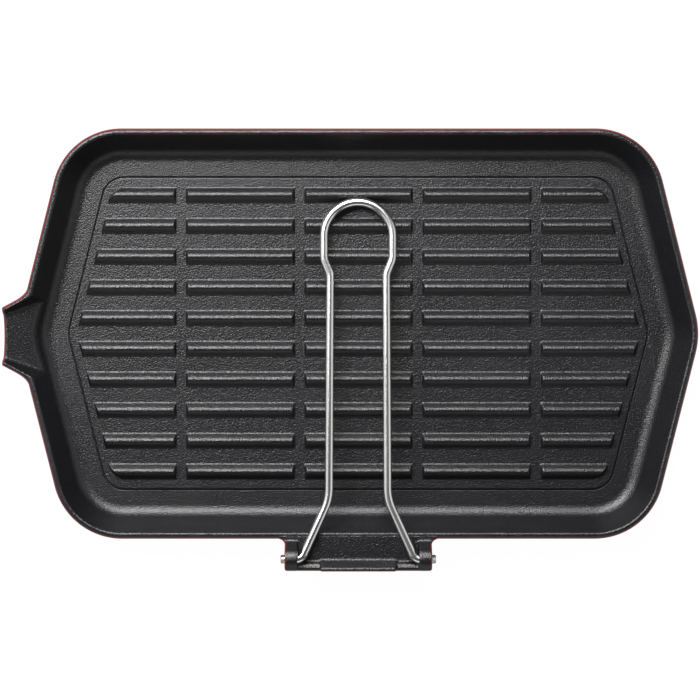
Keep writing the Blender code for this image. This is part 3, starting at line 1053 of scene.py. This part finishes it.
    def ribs(self, material: bpy.types.Material) -> bpy.types.Mesh:
        """Runs the tree on the seeds.

        Args:
            material: The casting's material.

        Returns:
            The ribs as one plain mesh, open underneath.
        """
        seeds = self.seeds()
        modifier = seeds.modifiers.new("ribs", "NODES")
        modifier.node_group = self.tree(material)
        identifiers = {item.name: item.identifier for item in modifier.node_group.interface.items_tree}
        modifier[identifiers["Rib Height"]] = self.height
        modifier[identifiers["End Slope"]] = self.end_slope
        graph = bpy.context.evaluated_depsgraph_get()
        mesh = bpy.data.meshes.new_from_object(seeds.evaluated_get(graph))
        seeds.modifiers.remove(modifier)
        bpy.data.objects.remove(seeds)
        return mesh

    def floor(self, boundary: Sequence[Vector]) -> tuple[list[Vector], list[Sequence[int]]]:
        """The flat field between the ribs.

        Args:
            boundary: The ring that it fills.

        Returns:
            Its points and faces.
        """
        points = [Vector(point[:2]) for point in boundary]
        loops = [list(range(len(points)))]
        for row in range(self.rows):
            row_y = (row - (self.rows - 1) / 2) * self.pitch
            for column in range(self.columns):
                start = len(points)
                points += map(Vector, self.footprint(row_y, column))
                loops.append(list(range(start, len(points))))
        only_inside, merge_distance = 1, 1e-7
        flat, _, faces, _, _, origins = delaunay_2d_cdt(points, [], loops, only_inside, merge_distance)
        kept = [face for face, origin in zip(faces, origins) if list(origin) == [0]]
        return [Vector((p.x, p.y, boundary[0].z)) for p in flat], kept


# --- hinge ---


@dataclass(frozen=True)
class HingeSizes:
    """Sizes of the hinge, cast on at the tray's south side."""

    half_width: float = 0.0381
    face_y: float = -0.1227
    pivot_y: float = -0.1162
    pivot_height: float = 0.0279
    corner_radius: float = 0.002
    root_radius: float = 0.003
    face_foot: float = 0.0125
    wall_foot: float = 0.009
    draft_run: float = 0.0008
    reach_in: float = 0.0090
    ear_inner: float = 0.0314
    ear_radius: float = 0.0061
    ear_root_y: float = -0.1072
    ear_foot: tuple[Point, ...] = ((0.0006, -0.0070), (0.0006, -0.0001), (-0.0001, 0.0003))
    ear_heel: float = 0.0002
    hole_radius: float = 0.00270
    lip_half_width: float = 0.0195
    lip_section: tuple[Point, ...] = (
        (0.0060, 0.0), (0.0054, 0.0004), (0.0020, 0.0052), (0.0013, 0.0055), (0.0006, 0.0055), (0.0, 0.0047)
    )
    seat_inner: float = 0.0190
    seat_section: tuple[Point, ...] = ((0.0048, 0.0), (0.0037, 0.0020), (0.0014, 0.0029), (0.0, 0.0016))
    overlap: float = 0.005  # how far the shapes that are joined reach into each other
    step: float = 0.0001  # between faces that would otherwise coincide
    top_gap: float = 0.00002  # from the rim's top up to the bracket's
    root_steps: int = 10
    corner_steps: int = 8
    knuckle_steps: int = 24
    hole_steps: int = 40
    red_edge: float = 0.0008
    red_depth: float = 0.0025
    red_fade: float = 0.0003
    grid: float = 0.00045
    smoothing: int = 6
    smoothing_factor: float = 0.5


@dataclass
class Hinge:
    """The bracket, its ears, its lip and its seats, with the soft edges of a casting."""

    tray: TraySizes
    sizes: HingeSizes = field(default_factory=HingeSizes)

    @staticmethod
    def closed(
        mesh: bmesh.types.BMesh, first: Sequence[bmesh.types.BMVert], last: Sequence[bmesh.types.BMVert]
    ) -> bmesh.types.BMesh:
        """A band between two loops, with both ends capped.

        Args:
            mesh: The mesh that holds the loops.
            first: One loop.
            last: The other, with as many vertices.

        Returns:
            The same mesh, with its faces outwards.
        """
        for index in range(len(first)):
            mesh.faces.new((first[index - 1], first[index], last[index], last[index - 1]))
        mesh.faces.new(first)
        mesh.faces.new(last)
        bmesh.ops.recalc_face_normals(mesh, faces=mesh.faces)
        return mesh

    @staticmethod
    def prism(profile: Sequence[Point], x_from: float, x_to: float) -> bmesh.types.BMesh:
        """A profile in Y and Z, carried along X.

        Args:
            profile: Its (y, z) points.
            x_from: Where it starts.
            x_to: Where it ends.

        Returns:
            A closed mesh with its faces outwards.
        """
        mesh = bmesh.new()
        near = [mesh.verts.new((x_from, y, z)) for y, z in profile]
        far = [mesh.verts.new((x_to, y, z)) for y, z in profile]
        return Hinge.closed(mesh, near, far)

    def plan(self) -> list[Point]:
        """The bracket's outline in plan.

        Returns:
            The points, from inside the rim on the east side, round the face and back.
        """
        h, t = self.sizes, self.tray
        root_centre = (h.half_width + h.root_radius, -t.half_width - h.root_radius)
        root = arc(root_centre, h.root_radius, math.pi / 2, math.pi, h.root_steps)
        corner_centre = (h.half_width - h.corner_radius, h.face_y + h.corner_radius)
        corner = arc(corner_centre, h.corner_radius, 0, -math.pi / 2, h.corner_steps)
        east = [(root[0][0], -t.half_width + t.rim_edge_run + h.step), *root, *corner]
        return east + [(-x, y) for x, y in reversed(east)]

    def bracket(self) -> bmesh.types.BMesh:
        """The block that stands out from the tray, with drafted sides and a sloping underside.

        Returns:
            A closed mesh, a hair above the rim so that the two tops don't coincide.
        """
        h, t = self.sizes, self.tray
        plan = self.plan()
        wall_foot_y = -t.half_width + h.reach_in
        fall = (h.face_foot - h.wall_foot) / (wall_foot_y - h.face_y)
        mesh = bmesh.new()
        top = [mesh.verts.new((x, y, t.rim_height + h.top_gap)) for x, y in plan]
        bottom = []
        for x, y in plan:
            foot_y = wall_foot_y if y == plan[0][1] else min(y + h.draft_run, wall_foot_y)
            foot_z = h.wall_foot + fall * (wall_foot_y - foot_y)
            bottom.append(mesh.verts.new((x - math.copysign(h.draft_run, x), foot_y, foot_z)))
        return self.closed(mesh, top, bottom)

    def ear(self, side: Side) -> bmesh.types.BMesh:
        """One ear: a steep north face with a soft foot, and a round knuckle.

        Args:
            side: The end of the hinge that it stands at.

        Returns:
            A closed mesh.
        """
        h, t = self.sizes, self.tray
        rise, run = h.pivot_height - t.rim_height, h.ear_root_y - h.pivot_y
        tangent = math.atan2(rise, -run) - math.asin(h.ear_radius / math.hypot(rise, run))
        pivot = (h.pivot_y, h.pivot_height)
        knuckle = arc(pivot, h.ear_radius, tangent - math.pi / 2, math.pi, h.knuckle_steps)
        foot = [(h.ear_root_y + run, t.rim_height + rise) for run, rise in h.ear_foot]
        profile = [*foot, *knuckle, (h.pivot_y - h.ear_radius - h.ear_heel, foot[0][1])]
        return self.prism(profile, side.value * h.ear_inner, side.value * (h.half_width - h.step / 2))

    def upstand(self, section: Sequence[Point], x_from: float, x_to: float) -> bmesh.types.BMesh:
        """A bar that stands up along the face.

        Args:
            section: Its points, from the face and from the rim's top, back to front.
            x_from: Where it starts.
            x_to: Where it ends.

        Returns:
            A closed mesh that reaches down into the bracket.
        """
        face = self.sizes.face_y + self.sizes.step
        points = [(face + run, self.tray.rim_height + rise) for run, rise in section]
        sunk = self.tray.rim_height - self.sizes.overlap
        return self.prism([(points[0][0], sunk), *points, (face, sunk)], x_from, x_to)

    def lip(self) -> bmesh.types.BMesh:
        """The upturned edge in the middle of the face."""
        h = self.sizes
        return self.upstand(h.lip_section, -h.lip_half_width, h.lip_half_width)

    def seat(self, side: Side) -> bmesh.types.BMesh:
        """The step that a leg of the swung-out handle comes down on."""
        h = self.sizes
        return self.upstand(h.seat_section, side.value * h.seat_inner, side.value * (h.ear_inner + 10 * h.step))

    def hole(self) -> bmesh.types.BMesh:
        """A bar along the pivot axis, through both ears."""
        h = self.sizes
        circle = arc((h.pivot_y, h.pivot_height), h.hole_radius, 0, 2 * math.pi, h.hole_steps)[:-1]
        return self.prism(circle, -h.half_width - h.overlap, h.half_width + h.overlap)

    def envelope(self) -> bmesh.types.BMesh:
        """The bracket's outline, carried up past the ears to round their corners."""
        levels = (-2 * self.sizes.overlap, 2 * self.tray.rim_height)
        mesh = bmesh.new()
        low, high = ([mesh.verts.new((x, y, z)) for x, y in self.plan()] for z in levels)
        return self.closed(mesh, low, high)

    def outside_mark(self, x: float, y: float, z: float) -> float:
        """Where the hinge is red: on its sides, its face and its underside.

        Args:
            x: Place along the hinge.
            y: Place across it.
            z: Height.

        Returns:
            The outside attribute there.
        """
        h, t = self.sizes, self.tray
        if z < t.rim_height - h.red_depth:
            return 1.0
        corner_x = max(abs(x) - h.half_width + h.corner_radius, 0)
        corner_y = max(h.face_y + h.corner_radius - y, 0)
        inside = h.corner_radius - math.hypot(corner_x, corner_y)
        root_y = -t.half_width - h.root_radius
        if y > root_y and abs(x) > h.half_width - h.corner_radius:
            inside = math.hypot(abs(x) - h.half_width - h.root_radius, y - root_y) - h.root_radius
        return max(min((h.red_edge - inside) / h.red_fade, 1), -1)

    def mesh(self) -> bpy.types.Mesh:
        """All of it, joined, with the edges softened.

        Returns:
            One closed mesh that carries the outside attribute.
        """
        steps = [("UNION", self.bracket()), ("UNION", self.lip())]
        steps += [("UNION", shape(side)) for side in Side for shape in (self.seat, self.ear)]
        steps += [("INTERSECT", self.envelope()), ("DIFFERENCE", self.hole())]
        bodies = []
        for _, part in steps:
            data = bpy.data.meshes.new("hinge_part")
            part.to_mesh(data)
            part.free()
            bodies.append(bpy.data.objects.new("hinge_part", data))
            bpy.context.collection.objects.link(bodies[-1])
        base = bodies[0]
        for body, (operation, _) in zip(bodies[1:], steps[1:]):
            join = base.modifiers.new(body.name, "BOOLEAN")
            join.operation = operation
            join.object = body
        remesh = base.modifiers.new("cast", "REMESH")
        remesh.mode = "VOXEL"
        remesh.voxel_size = self.sizes.grid
        soften = base.modifiers.new("soften", "SMOOTH")
        soften.factor = self.sizes.smoothing_factor
        soften.iterations = self.sizes.smoothing
        graph = bpy.context.evaluated_depsgraph_get()
        mesh = bpy.data.meshes.new_from_object(base.evaluated_get(graph))
        for body in bodies:
            bpy.data.objects.remove(body)
        marks = mesh.attributes.new(OUTSIDE, "FLOAT", "POINT")
        values = [self.outside_mark(*vertex.co) for vertex in mesh.vertices]
        marks.data.foreach_set("value", values)
        return mesh


# --- the casting ---


@dataclass
class PanCasting:
    """The whole casting: tray, spout, ribs and hinge."""

    middle: Vector
    enamel: bpy.types.Material
    tray: Tray = field(default_factory=Tray)
    flat_limit: float = 0.99999  # a face whose normal's z is above this is level, and is shaded flat
    merge_distance: float = 2e-6

    def shell(self) -> bpy.types.Mesh:
        """The tray's shell and its ribbed floor.

        Returns:
            Both merged into one closed mesh.
        """
        rings, marks = self.tray.rings()
        ribs = RibField(self.tray)
        mesh = bmesh.new()
        layer = mesh.verts.layers.float.new(OUTSIDE)

        def add_points(points: Iterable[Vector], mark: float) -> list[bmesh.types.BMVert]:
            """Adds vertices that have a given outside attribute."""
            added = [mesh.verts.new(point) for point in points]
            for vertex in added:
                vertex[layer] = mark
            return added

        loops = [add_points(ring, mark) for ring, mark in zip(rings, marks)]
        for lower, upper in zip(loops, loops[1:]):
            for index in range(len(lower)):
                mesh.faces.new((lower[index - 1], lower[index], upper[index], upper[index - 1]))
        mesh.faces.new(reversed(loops[0]))
        points, faces = ribs.floor(rings[-1])
        field_points = add_points(points, -1)
        for face in faces:
            mesh.faces.new([field_points[index] for index in face])
        rib_mesh = ribs.ribs(self.enamel)
        bars = add_points((v.co for v in rib_mesh.vertices), -1)
        for polygon in rib_mesh.polygons:
            mesh.faces.new([bars[index] for index in polygon.vertices])
        bpy.data.meshes.remove(rib_mesh)
        bmesh.ops.remove_doubles(mesh, verts=mesh.verts, dist=self.merge_distance)
        open_edges = sum(not edge.is_manifold for edge in mesh.edges)
        log.info("tray shell: %d faces, %d open edges", len(mesh.faces), open_edges)
        data = bpy.data.meshes.new("pan_shell")
        mesh.to_mesh(data)
        mesh.free()
        return data

    def build(self) -> bpy.types.Object:
        """The finished piece, in its place.

        Returns:
            Its object.
        """
        whole = bmesh.new()
        whole.from_mesh(self.shell())
        whole.from_mesh(Hinge(self.tray.sizes).mesh())
        bmesh.ops.translate(whole, verts=whole.verts, vec=self.middle)
        whole.normal_update()
        for face in whole.faces:
            face.smooth = abs(face.normal.z) < self.flat_limit
            face.material_index = 0
        data = bpy.data.meshes.new("grill_pan")
        whole.to_mesh(data)
        whole.free()
        data.materials.append(self.enamel)
        piece = bpy.data.objects.new("grill_pan", data)
        bpy.context.collection.objects.link(piece)
        log.info("grill_pan: %d faces", len(data.polygons))
        return piece


# --- the handle ---


@dataclass
class WireHandle:
    """One bent wire: feet, splayed legs, neck, shoulders and a round loop, the same on both sides."""

    pivot: Vector
    finish: bpy.types.Material
    wire_radius: float = 0.00225
    wire_end: float = 0.0401
    end_chamfer: float = 0.0004
    rest_slope: float = math.radians(5.57)
    foot: tuple[float, float, float] = (0.0293, 0.0, 0.0048)
    splay_end: tuple[float, float, float] = (0.01515, 0.0310, 0.026)
    neck: tuple[float, float, float] = (0.01465, 0.1480, 0.009)
    shoulder: tuple[float, float, float] = (0.0179, 0.1561, 0.009)
    loop_centre: float = 0.1680
    sides: int = 32
    bend_steps: int = 16
    loop_steps: int = 56

    def path(self) -> list[Vector]:
        """The centreline in the handle's own plane.

        Returns:
            Its points, from the east foot's end to the west one's.
        """
        loop_radius = self.shoulder[0]
        ends = ((self.wire_end, 0, 0), (loop_radius, self.loop_centre, 0))
        half = rounded([ends[0], self.foot, self.splay_end, self.neck, self.shoulder, ends[1]], self.bend_steps)
        loop = arc((0, self.loop_centre), loop_radius, 0, math.pi, self.loop_steps)[1:-1]
        return [*half, *map(Vector, loop), *(Vector((-p.x, p.y)) for p in reversed(half))]

    def build(self) -> bpy.types.Object:
        """The finished piece, in its place at rest.

        Returns:
            Its object.
        """
        flat = self.path()
        inwards = Vector((-self.end_chamfer, 0))
        path = [flat[0], flat[0] + inwards, *flat[1:-1], flat[-1] - inwards, flat[-1]]
        mesh = bmesh.new()
        wrap = mesh.loops.layers.uv.new("UVMap")
        lie = Matrix.Translation(self.pivot) @ Matrix.Rotation(-self.rest_slope, 4, "X")
        rings = []
        travelled = 0.0
        lengths = []
        for index, point in enumerate(path):
            before, after = path[max(index - 1, 0)], path[min(index + 1, len(path) - 1)]
            along = (after - before).normalized()
            across = Vector((-along.y, along.x, 0))
            at_end = index in (0, len(path) - 1)
            radius = self.wire_radius - (self.end_chamfer if at_end else 0)
            if index:
                travelled += (point - path[index - 1]).length
            lengths.append(travelled)
            ring = []
            for side in range(self.sides):
                turn = 2 * math.pi * side / self.sides
                offset = (across * math.cos(turn) + Vector((0, 0, 1)) * math.sin(turn)) * radius
                ring.append(mesh.verts.new(lie @ (point.to_3d() + offset)))
            rings.append(ring)
        round_length = 2 * math.pi * self.wire_radius
        for index in range(len(rings) - 1):
            for side in range(self.sides):
                after = (side + 1) % self.sides
                corners = ((index, side), (index, after), (index + 1, after), (index + 1, side))
                face = mesh.faces.new([rings[i][j] for i, j in corners])
                shares = (side, side + 1, side + 1, side)
                for loop, (i, _), share in zip(face.loops, corners, shares):
                    loop[wrap].uv = (round_length * share / self.sides, lengths[i])
        mesh.faces.new(rings[0])
        mesh.faces.new(rings[-1])
        bmesh.ops.recalc_face_normals(mesh, faces=mesh.faces)
        for face in mesh.faces:
            face.smooth = len(face.verts) == 4
        data = bpy.data.meshes.new("folding_handle")
        mesh.to_mesh(data)
        mesh.free()
        data.materials.append(self.finish)
        piece = bpy.data.objects.new("folding_handle", data)
        bpy.context.collection.objects.link(piece)
        log.info("folding_handle: %d faces", len(data.polygons))
        return piece


# --- the studio ---


@dataclass(frozen=True)
class Softbox:
    """One area light."""

    name: str
    position: tuple[float, float, float]
    size: tuple[float, float]
    watts: float

    def place(self, target: Vector) -> None:
        """Hangs the lamp.

        Args:
            target: The point that it faces.
        """
        light = bpy.data.lights.new(self.name, "AREA")
        light.shape = "RECTANGLE"
        light.size, light.size_y = self.size
        light.energy = self.watts
        lamp = bpy.data.objects.new(self.name, light)
        lamp.location = self.position
        lamp.rotation_euler = (target - lamp.location).to_track_quat("-Z", "Y").to_euler()
        bpy.context.collection.objects.link(lamp)


@dataclass
class Studio:
    """The camera, the lamps, the world and the floor."""

    camera_height: float = 1.254
    camera_y: float = -0.0001
    camera_tilt: float = math.radians(1.2)
    view_width: float = 0.3619
    rim_height: float = 0.024
    floor_size: float = 6.0
    floor_white: float = 0.85
    floor_roughness: float = 0.9
    sensor_width: float = 36.0
    clip_end: float = 20.0
    lamps: tuple[Softbox, ...] = (
        Softbox("key", (-0.29, 0.64, 0.75), (0.96, 0.60), 33.0),
        Softbox("east_fill", (0.90, 0.0, 0.44), (1.2, 0.9), 3.1),
        Softbox("west_fill", (-0.90, 0.0, 0.44), (1.2, 0.9), 3.1),
        Softbox("south_fill", (0.0, -1.2, 0.45), (1.6, 0.5), 3.6),
    )
    ambient: float = 0.08
    floor_in_view: float = 1.03
    floor_in_gloss: float = 0.35
    floor_glow_share: float = 0.95

    def floor(self) -> None:
        """A plain white floor that shows as white where nothing shades it."""
        bench = MaterialBench("studio_white")
        bench.shader.inputs["Base Color"].default_value = (*[self.floor_white] * 3, 1)
        bench.shader.inputs["Roughness"].default_value = self.floor_roughness
        rays = bench.add("ShaderNodeLightPath")
        strength = bench.add("ShaderNodeMapRange")
        strength.inputs["To Min"].default_value = self.floor_in_gloss
        strength.inputs["To Max"].default_value = self.floor_in_view
        bench.link(rays.outputs["Is Camera Ray"], strength.inputs["Value"])
        glow = bench.add("ShaderNodeEmission")
        bench.link(strength.outputs["Result"], glow.inputs["Strength"])
        seen = bench.add("ShaderNodeMath", operation="MAXIMUM")
        bench.link(rays.outputs["Is Camera Ray"], seen.inputs[0])
        bench.link(rays.outputs["Is Glossy Ray"], seen.inputs[1])
        blend = bench.add("ShaderNodeMixShader")
        bench.link(bench.product(seen.outputs[0], self.floor_glow_share), blend.inputs[0])
        bench.link(bench.shader.outputs[0], blend.inputs[1])
        bench.link(glow.outputs[0], blend.inputs[2])
        bench.link(blend.outputs[0], bench.tree.nodes["Material Output"].inputs["Surface"])
        half = self.floor_size / 2
        data = bpy.data.meshes.new("studio_floor")
        corners = [(-half, -half, 0), (half, -half, 0), (half, half, 0), (-half, half, 0)]
        data.from_pydata(corners, [], [(0, 1, 2, 3)])
        data.materials.append(bench.material)
        plane = bpy.data.objects.new("studio_floor", data)
        bpy.context.collection.objects.link(plane)

    def world(self) -> None:
        """White where the camera sees it, and a dim even light elsewhere."""
        world = bpy.data.worlds.new("studio")
        bpy.context.scene.world = world
        world.use_nodes = True
        nodes, links = world.node_tree.nodes, world.node_tree.links
        background = nodes["Background"]
        background.inputs["Color"].default_value = (1, 1, 1, 1)
        rays = nodes.new("ShaderNodeLightPath")
        strength = nodes.new("ShaderNodeMapRange")
        strength.inputs["To Min"].default_value = self.ambient
        strength.inputs["To Max"].default_value = 1.0
        links.new(rays.outputs["Is Camera Ray"], strength.inputs["Value"])
        links.new(strength.outputs["Result"], background.inputs["Strength"])

    def camera(self) -> None:
        """A long lens straight above the middle of the object."""
        data = bpy.data.cameras.new("camera")
        data.sensor_width = self.sensor_width
        data.lens = data.sensor_width * (self.camera_height - self.rim_height) / self.view_width
        data.clip_end = self.clip_end
        camera = bpy.data.objects.new("camera", data)
        distance = self.camera_height - self.rim_height
        north, up = distance * math.sin(self.camera_tilt), distance * math.cos(self.camera_tilt)
        camera.location = (0, self.camera_y + north, self.rim_height + up)
        camera.rotation_euler = (-self.camera_tilt, 0, 0)
        bpy.context.collection.objects.link(camera)
        bpy.context.scene.camera = camera

    def build(self) -> None:
        """Sets it all up."""
        self.floor()
        self.world()
        self.camera()
        for lamp in self.lamps:
            lamp.place(Vector((0, 0, self.rim_height)))
        bpy.context.scene.view_settings.view_transform = "Standard"


def main() -> None:
    """Builds each piece, dresses it and ties it to its body."""
    logging.basicConfig(level=logging.INFO, format="%(name)s: %(message)s")
    Studio().build()
    grain = cast_grain_group()
    low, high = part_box("pan_casting")
    sizes, hinge, spout = TraySizes(), HingeSizes(), SpoutSizes()
    east_end = sizes.vertex_centre_x + sizes.vertex_radius
    middle = Vector(((spout.tip - east_end) / 2, high[1] - sizes.half_width, low[2]))
    pan = PanCasting(middle, CastEnamel().material(grain)).build()
    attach(pan, "pan")
    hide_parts("pan_casting")

    pivot = middle + Vector((0, hinge.pivot_y, hinge.pivot_height))
    handle = WireHandle(pivot, PolishedWire().material(grain)).build()
    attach(handle, "handle")
    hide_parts("wire_handle")


if __name__ == "__main__":
    main()
